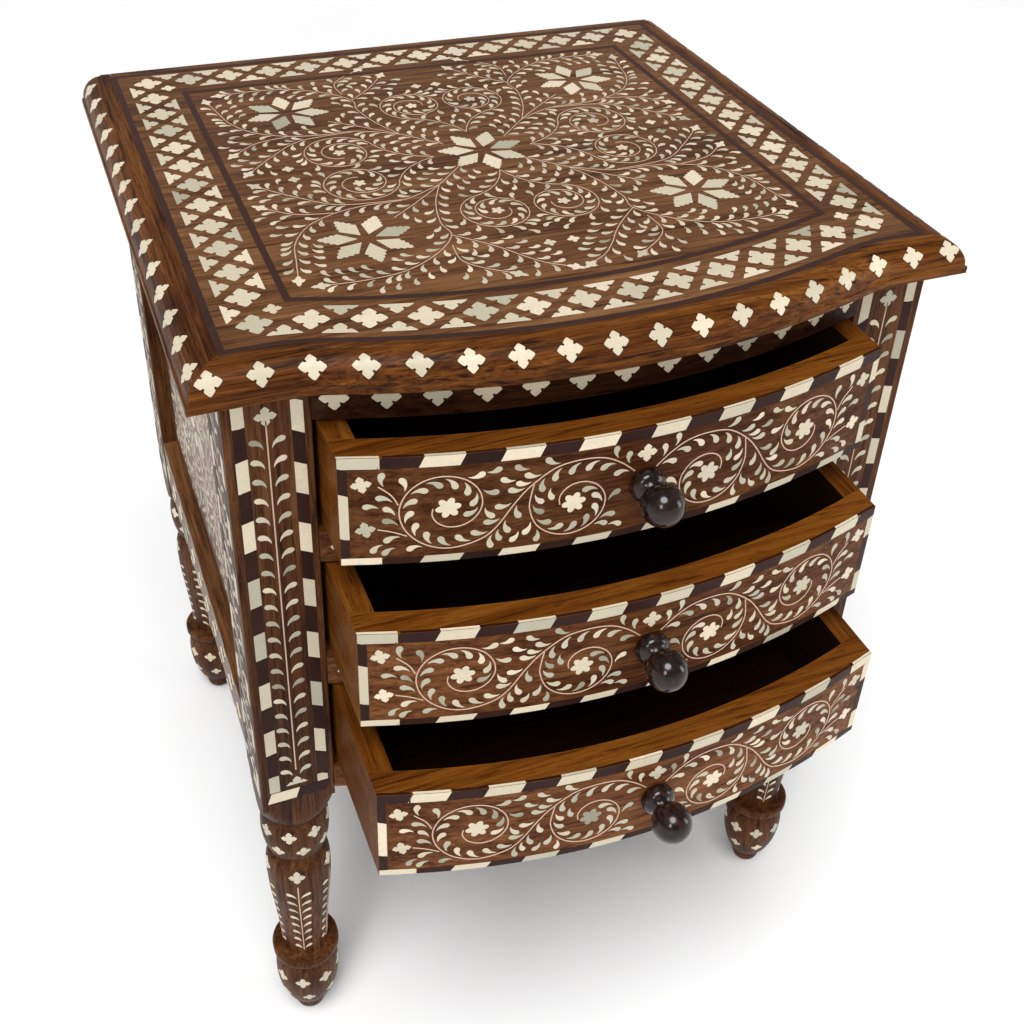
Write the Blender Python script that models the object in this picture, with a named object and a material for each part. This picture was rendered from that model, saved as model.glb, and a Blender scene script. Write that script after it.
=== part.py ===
"""Bow-fronted chest of three drawers on four turned legs, with every board, rail and turning modelled apart.

Units are metres, +Z is up, the front faces -Y and X = 0 is the mirror plane.
The origin is under the middle of the whole chest, with its drawers part open.
"""
import math

import bpy
import bmesh

GAP = 0.0003                  # clearance left between two pieces that touch

# whole chest
HEIGHT = 0.648                # floor to top face
TOP_WIDTH = 0.500             # over the mouldings
FRONT_PLANE = 0.13185         # distance from the origin forward to the posts' front faces
BACK_FACE = 0.4242            # posts' back faces, behind the posts' front faces
FLAT_SHARE = 0.0005           # play under each drawer

# bow of the front, shared by the top, the rails and the drawer fronts
BOW = 0.032                   # how far the middle stands in front of the corners
BOW_ARC = 0.170               # half width of the convex part
BOW_END = 0.200               # half width at which the reverse curve has become straight
ARC_RADIUS = BOW_ARC * BOW_END / (2 * BOW)
REVERSE_RADIUS = ARC_RADIUS * (BOW_END - BOW_ARC) / BOW_ARC

# top
TOP_UNDER = 0.6264            # underside of the top
TIP_OUT = 0.0155              # how far the moulding stands in front of the posts
TOP_BACK = 0.4265             # back edge of the top
MOULDING_WIDTH = 0.0236       # tip of the moulding to its joint with the board
FILLET_TOP = 0.6309           # top of the square edge under the ovolo
QUIRK = 0.6472                # foot of the small step where the ovolo meets the flat
OVOLO_FOOT = 0.0012
OVOLO_HEAD = 0.0160
OVOLO_STEPS = 7
BOW_STEPS = 36

# legs
POST = 0.050                  # square section
POST_X = 0.2304               # outer faces
SHOULDER = 0.2766             # where the square ends
LEG_SEGMENTS = 24
FRONT_LEG_Y = POST / 2
BACK_LEG_Y = BACK_FACE - POST / 2
LEG_X = POST_X - POST / 2
POST_INNER = POST_X - POST

# heights and radii up the turned leg
LEG_PROFILE = (
    (0.0000, 0.0085),
    (0.0022, 0.0109),
    (0.0065, 0.0121),
    (0.0125, 0.0127),
    (0.0150, 0.0138),
    (0.0172, 0.0163),
    (0.0250, 0.0197),
    (0.0350, 0.0226),
    (0.0460, 0.0242),
    (0.0560, 0.0245),
    (0.0660, 0.0235),
    (0.0730, 0.0216),
    (0.0765, 0.0200),
    (0.0775, 0.0249),
    (0.0790, 0.0258),
    (0.0835, 0.0258),
    (0.0850, 0.0249),
    (0.0855, 0.0180),
    (0.0880, 0.0174),
    (0.1000, 0.0179),
    (0.1130, 0.0188),
    (0.1320, 0.0204),
    (0.1570, 0.0228),
    (0.1720, 0.0237),
    (0.1860, 0.0239),
    (0.1950, 0.0231),
    (0.2000, 0.0216),
    (0.2020, 0.0196),
    (0.2045, 0.0190),
    (0.2070, 0.0198),
    (0.2085, 0.0212),
    (0.2120, 0.0222),
    (0.2180, 0.0238),
    (0.2260, 0.0247),
    (0.2340, 0.0248),
    (0.2420, 0.0240),
    (0.2480, 0.0222),
    (0.2510, 0.0205),
    (0.2600, 0.0205),
)
# heights and radii that round off the foot of the square
PUMMEL_PROFILE = (
    (0.2512, 0.0236),
    (0.2540, 0.0250),
    (0.2600, 0.0281),
    (0.2670, 0.0308),
    (0.2730, 0.0326),
    (0.2758, 0.0334),
    (0.2766, 0.0346),
    (0.2767, 0.0380),
    (0.6400, 0.0380),
)

# drawers, from the top one down
DRAWER_HALF = 0.1765
DRAWER_TOPS = (0.5970, 0.4910, 0.3850)
DRAWER_HEIGHT = 0.0772
DRAWER_BACK = 0.372           # back end when shut, behind the posts' front faces
DRAWER_OPEN = (0.0348, 0.0633, 0.0938)
FRONT_THICK = 0.019
SIDE_THICK = 0.015
BACK_THICK = 0.014
BOTTOM_THICK = 0.006
BOTTOM_LIFT = 0.008           # drawer bottom above the lower edge of its sides

# rails between the drawers
RAIL_PLAY = 0.003             # above and below each drawer front
RAIL_BACK = 0.022             # straight back face of the front rails
BOTTOM_RAIL_FOOT = 0.2855

# sides and back
FRAME_THICK = 0.022
SIDE_SINK = 0.011             # side panels lie this far inside the frame
SIDE_THICKNESS = 0.010
LOWER_RAIL_FOOT = 0.2885
LOWER_RAIL_TOP = 0.3300
UPPER_RAIL_FOOT = 0.5800
BACK_SINK = 0.008
BACK_PANEL_THICK = 0.006

# runners and kickers
RUNNER_INNER = 0.152
RUNNER_HEIGHT = 0.020

# knobs: distances out from the drawer front, and radii
KNOB_HOLE = 0.0022
KNOB_HOLE_DEPTH = 0.0165
BALL_CENTRE = 0.0238
BALL_RADIUS = 0.0132
KNOB_STEM = (
    (0.0000, 0.0092),
    (0.0012, 0.0107),
    (0.0045, 0.0112),
    (0.0078, 0.0105),
    (0.0094, 0.0086),
    (0.0105, 0.0072),
)
KNOB_SEGMENTS = 24
SCREW_SHANK = 0.0018
SCREW_HEAD = 0.0042


def bow(x):
    """How far the front line stands forward of the corners at x."""
    x = abs(x)
    if x < BOW_ARC:
        return BOW - x * x / (2 * ARC_RADIUS)
    if x < BOW_END:
        return (BOW_END - x) ** 2 / (2 * REVERSE_RADIUS)
    return 0.0


def depth(y):
    """Row-frame Y of a distance behind the posts' front faces."""
    return y - FRONT_PLANE


def material(name, colour, roughness, coat=0.0):
    made = bpy.data.materials.new(name)
    made.use_nodes = True
    shader = made.node_tree.nodes["Principled BSDF"]
    shader.inputs["Base Color"].default_value = (*colour, 1.0)
    shader.inputs["Roughness"].default_value = roughness
    shader.inputs["Coat Weight"].default_value = coat
    made.diffuse_color = (*colour, 1.0)
    return made


def add(name, verts, faces, place, look, parent=None, smooth=False):
    """One closed body. place is its location; verts are measured from there."""
    mesh = bpy.data.meshes.new(name)
    mesh.from_pydata(verts, [], faces)
    bm = bmesh.new()
    bm.from_mesh(mesh)
    bmesh.ops.recalc_face_normals(bm, faces=bm.faces)
    bm.to_mesh(mesh)
    bm.free()
    obj = bpy.data.objects.new(name, mesh)
    bpy.context.scene.collection.objects.link(obj)
    obj.location = place
    if parent is not None:
        obj.parent = parent
    colour, roughness, coat = look
    obj.data.materials.append(material(name, colour, roughness, coat))
    for face in mesh.polygons:
        face.use_smooth = smooth
    return obj


def prism(name, outline, z0, z1, place, look, parent=None):
    """A flat outline in plan, extruded from z0 to z1."""
    count = len(outline)
    verts = [(x, y, z0) for x, y in outline] + [(x, y, z1) for x, y in outline]
    faces = [tuple(reversed(range(count))), tuple(range(count, 2 * count))]
    for i in range(count):
        j = (i + 1) % count
        faces.append((i, j, count + j, count + i))
    return add(name, verts, faces, place, look, parent)


def board(name, x, y, z, look, parent=None, base=(0.0, 0.0, 0.0)):
    """A square-edged board between pairs of limits, in the row frame."""
    place = (sum(x) / 2, sum(y) / 2, sum(z) / 2)
    hx, hy, hz = (x[1] - x[0]) / 2, (y[1] - y[0]) / 2, (z[1] - z[0]) / 2
    outline = [(-hx, -hy), (hx, -hy), (hx, hy), (-hx, hy)]
    place = tuple(place[i] - base[i] for i in range(3))
    return prism(name, outline, -hz, hz, place, look, parent)


def revolve(profile, segments):
    """Vertices and faces of a solid of revolution about Z, from (height, radius) pairs, capped at both ends."""
    verts = []
    for z, r in profile:
        for k in range(segments):
            a = 2 * math.pi * (k + 0.5) / segments
            verts.append((r * math.cos(a), r * math.sin(a), z))
    faces = []
    for i in range(len(profile) - 1):
        for k in range(segments):
            n = (k + 1) % segments
            a, b = i * segments, (i + 1) * segments
            faces.append((a + k, a + n, b + n, b + k))
    last = (len(profile) - 1) * segments
    faces.append(tuple(reversed(range(segments))))
    faces.append(tuple(range(last, last + segments)))
    return verts, faces


def boolean(target, tool, operation):
    step = target.modifiers.new(operation.lower(), "BOOLEAN")
    step.operation = operation
    step.solver = "EXACT"
    step.object = tool
    tool.hide_render = True
    tool.display_type = "WIRE"


ROSEWOOD = ((0.16, 0.075, 0.035), 0.42, 0.3)
DARK_WOOD = ((0.11, 0.050, 0.025), 0.5, 0.1)
BARE_WOOD = ((0.28, 0.13, 0.05), 0.6, 0.0)
BLACK_WOOD = ((0.02, 0.012, 0.010), 0.25, 0.6)
STEEL = ((0.55, 0.55, 0.56), 0.35, 0.0)


def stations(half, steps):
    return [-half + 2 * half * i / steps for i in range(steps + 1)]


def moulding_profile():
    """(distance in from the tip, height) round the moulding's section, starting at its lower outer edge."""
    points = [(0.0, TOP_UNDER), (0.0, FILLET_TOP), (OVOLO_FOOT, FILLET_TOP)]
    for i in range(1, OVOLO_STEPS + 1):
        a = math.pi / 2 * i / OVOLO_STEPS
        inward = OVOLO_FOOT + (OVOLO_HEAD - OVOLO_FOOT) * (1 - math.cos(a))
        up = FILLET_TOP + (QUIRK - FILLET_TOP) * math.sin(a)
        points.append((inward, up))
    points.append((OVOLO_HEAD, HEIGHT))
    points.append((MOULDING_WIDTH, HEIGHT))
    points.append((MOULDING_WIDTH, TOP_UNDER))
    return points


def sweep(name, rings, place, look):
    """Joins closed section rings one after another and caps both ends."""
    size = len(rings[0])
    verts = [tuple(v[i] - place[i] for i in range(3)) for ring in rings for v in ring]
    faces = []
    for i in range(len(rings) - 1):
        for k in range(size):
            n = (k + 1) % size
            a, b = i * size, (i + 1) * size
            faces.append((a + k, a + n, b + n, b + k))
    last = (len(rings) - 1) * size
    faces.append(tuple(reversed(range(size))))
    faces.append(tuple(range(last, last + size)))
    return add(name, verts, faces, place, look)


def build_top():
    profile = moulding_profile()
    half = TOP_WIDTH / 2
    rings = []
    for t in stations(1.0, BOW_STEPS):
        ring = []
        for inward, z in profile:
            x = t * (half - inward)
            ring.append((x, depth(-TIP_OUT - bow(x) + inward), z))
        rings.append(ring)
    sweep("top_moulding_front", rings, (0.0, depth(-TIP_OUT), TOP_UNDER), ROSEWOOD)
    for side, label in ((-1, "left"), (1, "right")):
        rings = []
        for end in (0, 1):
            ring = []
            for inward, z in profile:
                front = depth(-TIP_OUT + inward + 1.5 * GAP)
                y = depth(TOP_BACK) if end else front
                ring.append((side * (half - inward), y, z))
            rings.append(ring)
        place = (side * half, depth(TOP_BACK / 2), TOP_UNDER)
        sweep("top_moulding_" + label, rings, place, ROSEWOOD)
    inner = half - MOULDING_WIDTH - GAP
    front = -TIP_OUT + MOULDING_WIDTH + GAP
    outline = [(x, front - bow(x)) for x in stations(inner, BOW_STEPS)]
    outline += [(inner, TOP_BACK), (-inner, TOP_BACK)]
    prism("top_board", outline, 0.0, HEIGHT - TOP_UNDER, (0.0, depth(0.0), TOP_UNDER), ROSEWOOD)


def build_leg(name, x, y):
    place = (x, y, 0.0)
    turned, turned_faces = revolve(LEG_PROFILE, LEG_SEGMENTS)
    turning = add(name + "_turning_tool", turned, turned_faces, place, ROSEWOOD, smooth=True)
    pummel, pummel_faces = revolve(PUMMEL_PROFILE, LEG_SEGMENTS)
    shoulder = add(name + "_shoulder_tool", pummel, pummel_faces, place, ROSEWOOD, smooth=True)
    half = POST / 2
    outline = [(-half, -half), (half, -half), (half, half), (-half, half)]
    leg = prism(name, outline, 0.2400, TOP_UNDER - GAP, place, ROSEWOOD)
    boolean(leg, shoulder, "INTERSECT")
    boolean(leg, turning, "UNION")


def front_rail(name, z0, z1, look):
    half = POST_INNER - GAP
    outline = [(x, -bow(x)) for x in stations(half, BOW_STEPS)]
    outline += [(half, RAIL_BACK), (-half, RAIL_BACK)]
    prism(name, outline, 0.0, z1 - z0, (0.0, depth(0.0), z0), look)


def build_case():
    for side, label in ((-1, "left"), (1, "right")):
        build_leg(f"front_{label}_leg", side * LEG_X, depth(FRONT_LEG_Y))
        build_leg(f"back_{label}_leg", side * LEG_X, depth(BACK_LEG_Y))
        outer = POST_X
        inner = POST_X - FRAME_THICK
        x = (side * inner, side * outer) if side > 0 else (-outer, -inner)
        y = (depth(POST + GAP), depth(BACK_FACE - POST - GAP))
        board(f"{label}_upper_rail", x, y, (UPPER_RAIL_FOOT, TOP_UNDER - GAP), ROSEWOOD)
        board(f"{label}_lower_rail", x, y, (LOWER_RAIL_FOOT, LOWER_RAIL_TOP), ROSEWOOD)
        outer = POST_X - SIDE_SINK
        inner = outer - SIDE_THICKNESS
        x = (inner, outer) if side > 0 else (-outer, -inner)
        board(f"{label}_panel", x, y, (LOWER_RAIL_TOP + GAP, UPPER_RAIL_FOOT - GAP), ROSEWOOD)
    x = (-POST_INNER + GAP, POST_INNER - GAP)
    y = (depth(BACK_FACE - FRAME_THICK), depth(BACK_FACE))
    board("back_upper_rail", x, y, (UPPER_RAIL_FOOT, TOP_UNDER - GAP), DARK_WOOD)
    board("back_lower_rail", x, y, (LOWER_RAIL_FOOT, LOWER_RAIL_TOP), DARK_WOOD)
    y = (depth(BACK_FACE - BACK_SINK - BACK_PANEL_THICK), depth(BACK_FACE - BACK_SINK))
    board("back_panel", x, y, (LOWER_RAIL_TOP + GAP, UPPER_RAIL_FOOT - GAP), DARK_WOOD)
    bottoms = [top - DRAWER_HEIGHT for top in DRAWER_TOPS]
    front_rail("apron_rail", DRAWER_TOPS[0] + RAIL_PLAY, TOP_UNDER - GAP, DARK_WOOD)
    front_rail("upper_divider_rail", DRAWER_TOPS[1] + RAIL_PLAY, bottoms[0] - RAIL_PLAY, DARK_WOOD)
    front_rail("lower_divider_rail", DRAWER_TOPS[2] + RAIL_PLAY, bottoms[1] - RAIL_PLAY, DARK_WOOD)
    front_rail("bottom_rail", BOTTOM_RAIL_FOOT, bottoms[2] - RAIL_PLAY, DARK_WOOD)
    y = (depth(RAIL_BACK + GAP), depth(BACK_FACE - FRAME_THICK - GAP))
    for side, label in ((-1, "left"), (1, "right")):
        x = (RUNNER_INNER, POST_INNER - GAP) if side > 0 else (-POST_INNER + GAP, -RUNNER_INNER)
        for number, bottom in enumerate(bottoms, 1):
            z = (bottom - FLAT_SHARE - RUNNER_HEIGHT, bottom - FLAT_SHARE)
            board(f"runner_{number}_{label}", x, y, z, BARE_WOOD)
        z = (DRAWER_TOPS[0] + FLAT_SHARE * 2, TOP_UNDER - GAP)
        board(f"kicker_{label}", x, y, z, BARE_WOOD)


def knob_profile():
    """(distance out from the drawer front, radius), with a blind screw hole up the middle."""
    points = [(KNOB_HOLE_DEPTH, 0.0), (KNOB_HOLE_DEPTH, KNOB_HOLE), (0.0, KNOB_HOLE)]
    points += list(KNOB_STEM)
    start = math.acos((BALL_CENTRE - 0.0123) / BALL_RADIUS)
    for i in range(13):
        a = start + (math.pi - start) * i / 12
        points.append((BALL_CENTRE - BALL_RADIUS * math.cos(a), BALL_RADIUS * math.sin(a)))
    points[-1] = (BALL_CENTRE + BALL_RADIUS, 0.0)
    return points


def turned_along_y(profile, segments):
    """A turning whose axis points along -Y; a radius of zero closes to one vertex."""
    verts, rings = [], []
    for out, r in profile:
        ring = []
        if r == 0.0:
            ring = [len(verts)] * segments
            verts.append((0.0, -out, 0.0))
        else:
            for k in range(segments):
                a = 2 * math.pi * k / segments
                ring.append(len(verts))
                verts.append((r * math.cos(a), -out, r * math.sin(a)))
        rings.append(ring)
    faces = []
    for one, two in zip(rings, rings[1:]):
        for k in range(segments):
            n = (k + 1) % segments
            corners = []
            for v in (one[k], one[n], two[n], two[k]):
                if v not in corners:
                    corners.append(v)
            if len(corners) > 2:
                faces.append(tuple(corners))
    return verts, faces


def build_drawer(number):
    top = DRAWER_TOPS[number - 1]
    bottom = top - DRAWER_HEIGHT
    shift = DRAWER_OPEN[number - 1]
    base = (0.0, depth(-shift), bottom)
    slide = bpy.data.objects.new(f"drawer_{number}_slide_axis", None)
    bpy.context.scene.collection.objects.link(slide)
    slide.location = base
    name = f"drawer_{number}_"

    half = DRAWER_HALF
    outline = [(x, -bow(x)) for x in stations(half, BOW_STEPS)]
    outline += [(x, FRONT_THICK - bow(x)) for x in reversed(stations(half, BOW_STEPS))]
    front = prism(name + "front", outline, 0.0, DRAWER_HEIGHT, (0.0, 0.0, 0.0), ROSEWOOD, slide)
    middle = DRAWER_HEIGHT / 2
    hole, hole_faces = turned_along_y(((-0.03, 0.0), (-0.03, KNOB_HOLE), (0.03, KNOB_HOLE), (0.03, 0.0)), 16)
    drill = add(name + "front_drill", hole, hole_faces, (0.0, -BOW, middle), ROSEWOOD, slide)
    boolean(front, drill, "DIFFERENCE")

    for side, label in ((-1, "left"), (1, "right")):
        outer, inner = half, half - SIDE_THICK
        xs = [outer - SIDE_THICK * i / 4 for i in range(5)]
        outline = [(side * x, FRONT_THICK + GAP - bow(x)) for x in xs]
        outline += [(side * inner, DRAWER_BACK), (side * outer, DRAWER_BACK)]
        prism(name + label + "_side", outline, 0.0, DRAWER_HEIGHT, (0.0, 0.0, 0.0), BARE_WOOD, slide)
    inner = half - SIDE_THICK - GAP
    outline = [(-inner, DRAWER_BACK - BACK_THICK), (inner, DRAWER_BACK - BACK_THICK), (inner, DRAWER_BACK), (-inner, DRAWER_BACK)]
    prism(name + "back", outline, 0.0, DRAWER_HEIGHT, (0.0, 0.0, 0.0), BARE_WOOD, slide)
    outline = [(x, FRONT_THICK + GAP - bow(x)) for x in stations(inner, BOW_STEPS // 2)]
    outline += [(inner, DRAWER_BACK - BACK_THICK - GAP), (-inner, DRAWER_BACK - BACK_THICK - GAP)]
    prism(name + "bottom", outline, BOTTOM_LIFT, BOTTOM_LIFT + BOTTOM_THICK, (0.0, 0.0, 0.0), BARE_WOOD, slide)

    knob, knob_faces = turned_along_y(knob_profile(), KNOB_SEGMENTS)
    add(name + "knob", knob, knob_faces, (0.0, -BOW - GAP, middle), BLACK_WOOD, slide, smooth=True)
    inside = FRONT_THICK + GAP
    screw = (
        (-inside - 0.0016, 0.0),
        (-inside - 0.0016, SCREW_HEAD * 0.6),
        (-inside - 0.0009, SCREW_HEAD),
        (-inside, SCREW_HEAD),
        (-inside, SCREW_SHANK),
        (KNOB_HOLE_DEPTH - 0.002, SCREW_SHANK),
        (KNOB_HOLE_DEPTH - 0.001, 0.0),
    )
    pin, pin_faces = turned_along_y(screw, 16)
    add(name + "knob_screw", pin, pin_faces, (0.0, -BOW, middle), STEEL, slide, smooth=False)


def main():
    for old in list(bpy.data.objects):
        bpy.data.objects.remove(old)
    build_top()
    build_case()
    for number in (1, 2, 3):
        build_drawer(number)


main()
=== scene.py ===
import random
from math import acos, atan, atan2, cos, dist, hypot, pi, radians, sin, sqrt

import bpy
from mathutils import Matrix, Vector


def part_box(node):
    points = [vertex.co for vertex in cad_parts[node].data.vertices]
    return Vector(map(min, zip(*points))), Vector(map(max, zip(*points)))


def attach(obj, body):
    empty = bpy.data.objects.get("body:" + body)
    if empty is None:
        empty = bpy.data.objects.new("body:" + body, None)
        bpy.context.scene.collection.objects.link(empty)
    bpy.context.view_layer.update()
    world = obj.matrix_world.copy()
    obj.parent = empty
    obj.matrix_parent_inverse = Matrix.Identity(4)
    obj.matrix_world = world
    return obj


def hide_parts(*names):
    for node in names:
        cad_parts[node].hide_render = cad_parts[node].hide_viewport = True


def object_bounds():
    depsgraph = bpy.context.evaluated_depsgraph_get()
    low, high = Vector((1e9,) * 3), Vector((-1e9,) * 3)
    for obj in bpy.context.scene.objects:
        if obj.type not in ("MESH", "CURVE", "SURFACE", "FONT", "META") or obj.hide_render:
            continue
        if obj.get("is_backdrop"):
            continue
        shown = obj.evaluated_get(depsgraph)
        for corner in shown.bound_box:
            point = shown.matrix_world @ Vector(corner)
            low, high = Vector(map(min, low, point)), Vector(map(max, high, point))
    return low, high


# Looks of the bow-fronted chest: woods, bone and ebony inlay, turned legs and knobs, lights and camera.
# Row frame throughout: metres, +Z up, the front faces -Y. Flat patterns are drawn in millimetres.

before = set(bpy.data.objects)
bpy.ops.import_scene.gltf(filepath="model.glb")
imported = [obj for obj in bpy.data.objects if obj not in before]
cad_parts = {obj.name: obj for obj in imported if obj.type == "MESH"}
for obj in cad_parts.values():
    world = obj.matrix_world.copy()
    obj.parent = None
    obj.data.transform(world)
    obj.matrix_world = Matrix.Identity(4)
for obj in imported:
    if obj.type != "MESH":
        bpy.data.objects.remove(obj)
cad_low, cad_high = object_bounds()

MM = 0.001

# --- sizes taken from the frame
POST_LOW, POST_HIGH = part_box("front_left_leg")
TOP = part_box("top_board")[1].z
HALF_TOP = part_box("top_moulding_front")[1].x
TOP_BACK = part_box("top_moulding_left")[1].y
FRONT_PLANE = POST_LOW.y              # front faces of the posts
BACK_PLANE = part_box("back_left_leg")[1].y
POST_OUTER = -POST_LOW.x
POST = POST_HIGH.x - POST_LOW.x
LEG_X = POST_OUTER - POST / 2

# bow of the front, as on the CAD boards: a long arc, then a short reverse one that runs out to the posts
BOW = 0.032
BOW_ARC = 0.170
BOW_END = 0.200
ARC_RADIUS = BOW_ARC * BOW_END / (2 * BOW)
REVERSE_RADIUS = ARC_RADIUS * (BOW_END - BOW_ARC) / BOW_ARC

# ovolo of the moulding: distances in from the tip, and heights
OVOLO_FOOT = 0.0012
OVOLO_HEAD = 0.0160
FILLET_TOP = 0.6309
QUIRK = 0.6472
TIP_OUT = 0.0155
OVOLO_LENGTH = pi / 4 * ((OVOLO_HEAD - OVOLO_FOOT) + (QUIRK - FILLET_TOP))

# inlay: how far it stands proud, how deep it is let in, and its eased edge
PROUD, SUNK, ARRIS = 0.00016, 0.0003, 0.00012


def bow(x):
    """How far the front line stands forward of the posts at x."""
    x = abs(x)
    if x < BOW_ARC:
        return BOW - x * x / (2 * ARC_RADIUS)
    if x < BOW_END:
        return (BOW_END - x) ** 2 / (2 * REVERSE_RADIUS)
    return 0.0


def bow_slope(x):
    """Change of bow() with x."""
    side = 1 if x > 0 else -1
    if abs(x) < BOW_ARC:
        return -x / ARC_RADIUS
    if abs(x) < BOW_END:
        return -side * (BOW_END - abs(x)) / REVERSE_RADIUS
    return 0.0


# --- materials
def feed(tree, node, inputs):
    """Inputs of a node, by name or number, linked to sockets or set to values."""
    for key, value in inputs.items():
        socket = node.inputs[key]
        if hasattr(value, "is_linked"):
            tree.links.new(value, socket)
        else:
            socket.default_value = (*value, 1.0) if socket.type == "RGBA" else value


def add(tree, kind, inputs=None, **settings):
    """New shader node; kind is its type without the word ShaderNode."""
    node = tree.nodes.new("ShaderNode" + kind)
    for key, value in settings.items():
        setattr(node, key, value)
    feed(tree, node, inputs or {})
    return node


def node_tree(name):
    """New material, its tree, its Principled shader and the object's own coordinates."""
    material = bpy.data.materials.new(name)
    material.use_nodes = True
    tree = material.node_tree
    return material, tree, tree.nodes["Principled BSDF"], add(tree, "TexCoord").outputs["Object"]


def maths(tree, operation, *values):
    return add(tree, "Math", dict(enumerate(values)), operation=operation).outputs[0]


def noise(tree, coordinates, stretch, offset, scale, detail, rough=0.5, distortion=0.0):
    """Noise in coordinates drawn out by stretch."""
    mapping = add(tree, "Mapping", {"Vector": coordinates, "Location": offset, "Scale": stretch})
    return add(tree, "TexNoise", {"Vector": mapping.outputs[0], "Scale": scale, "Detail": detail,
                                  "Roughness": rough, "Distortion": distortion}).outputs["Fac"]


def ramp(tree, factor, stops):
    """Colour ramp through (place, colour) stops."""
    node = add(tree, "ValToRGB", {0: factor})
    elements = node.color_ramp.elements
    while len(elements) < len(stops):
        elements.new(0.5)
    for element, (place, colour) in zip(elements, stops):
        element.position = place
        element.color = (*colour, 1.0)
    return node.outputs[0]


def spread(tree, factor, low, high, to_low, to_high):
    """Map Range, clamped."""
    return add(tree, "MapRange", dict(enumerate((factor, low, high, to_low, to_high)))).outputs[0]


def mix(tree, factor, one, two):
    return add(tree, "Mix", {0: factor, 6: one, 7: two}, data_type="RGBA").outputs[2]


def axes_of(tree, vector):
    """The x, y and z of a vector."""
    return add(tree, "SeparateXYZ", {0: vector}).outputs


def finish_surface(tree, shader, colour, rough, specular, coat=(0.0, 0.03), relief=None):
    """Feed the Principled shader; coat is (weight, roughness), relief (height, strength, distance)."""
    feed(tree, shader, {"Base Color": colour, "Roughness": rough, "Specular IOR Level": specular,
                        "Coat Weight": coat[0], "Coat Roughness": coat[1]})
    if relief:
        bump = add(tree, "Bump", dict(zip(("Height", "Strength", "Distance"), relief)))
        feed(tree, shader, {"Normal": bump.outputs[0]})


def edge_mask(tree, radius):
    """1 near the sharp edges of a piece, 0 away from them."""
    rounded = add(tree, "Bevel", {"Radius": radius}, samples=4).outputs[0]
    normal = add(tree, "NewGeometry").outputs["Normal"]
    product = add(tree, "VectorMath", {0: rounded, 1: normal}, operation="DOT_PRODUCT")
    return spread(tree, product.outputs["Value"], 0.99, 0.80, 0.0, 1.0)


# palettes of four tones, from the dark lines to the light figure
TONE_PLACES = (0.02, 0.34, 0.66, 1.0)
# near-black painted shade for the faces inside the drawers
INSIDE_SHADE_COLOUR = (0.010, 0.005, 0.003)
GRAIN_STRETCH = {"X": (0.045, 1.0, 1.0), "Y": (1.0, 0.045, 1.0), "Z": (1.0, 1.0, 0.045)}
ROSEWOOD_TONES = ((0.040, 0.013, 0.003), (0.096, 0.035, 0.010), (0.152, 0.062, 0.020), (0.230, 0.108, 0.040))
MOULDING_TONES = ((0.010, 0.002, 0.0004), (0.048, 0.012, 0.0012), (0.112, 0.034, 0.004), (0.190, 0.068, 0.012))
BOX_TONES = ((0.050, 0.013, 0.0015), (0.110, 0.031, 0.003), (0.155, 0.048, 0.005), (0.205, 0.074, 0.010))
FRONT_TONES = ((0.022, 0.006, 0.001), (0.066, 0.020, 0.005), (0.115, 0.041, 0.012), (0.175, 0.070, 0.023))
POST_TONES = ((0.016, 0.004, 0.001), (0.046, 0.014, 0.0035), (0.084, 0.029, 0.008), (0.135, 0.054, 0.018))
# very dark palette for the apron rail: painted shade of the top's overhang
PAINTED_SHADE_TONES = ((0.008, 0.002, 0.0006), (0.022, 0.006, 0.0015), (0.036, 0.011, 0.003), (0.058, 0.020, 0.007))


def toned(tones, factor):
    """Palette made lighter or darker by a factor."""
    return tuple(tuple(channel * factor for channel in tone) for tone in tones)


def facing_share(tree, where, direction):
    """1 on the faces of a board that look in the named direction, 0 on its others."""
    across, along, _ = axes_of(tree, add(tree, "NewGeometry").outputs["True Normal"])
    if direction == "middle":
        facing = maths(tree, "MULTIPLY", across, maths(tree, "SIGN", axes_of(tree, where)[0]))
    else:
        facing = along
    if direction != "back":
        facing = maths(tree, "MULTIPLY", facing, -1.0)
    return spread(tree, facing, 0.70, 0.85, 0.0, 1.0)


# figure, veins, fibres and pores: length along the grain, scale, detail, roughness, distortion
WOOD_LAYERS = ((1.5, 66, 6, 0.62, 1.2), (1.1, 340, 4, 0.65, 0.5), (0.6, 900, 2, 0.6), (1.6, 1500, 1, 0.4))
LOG_SHIFT = (0.37, 0.53, 0.71)


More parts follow.
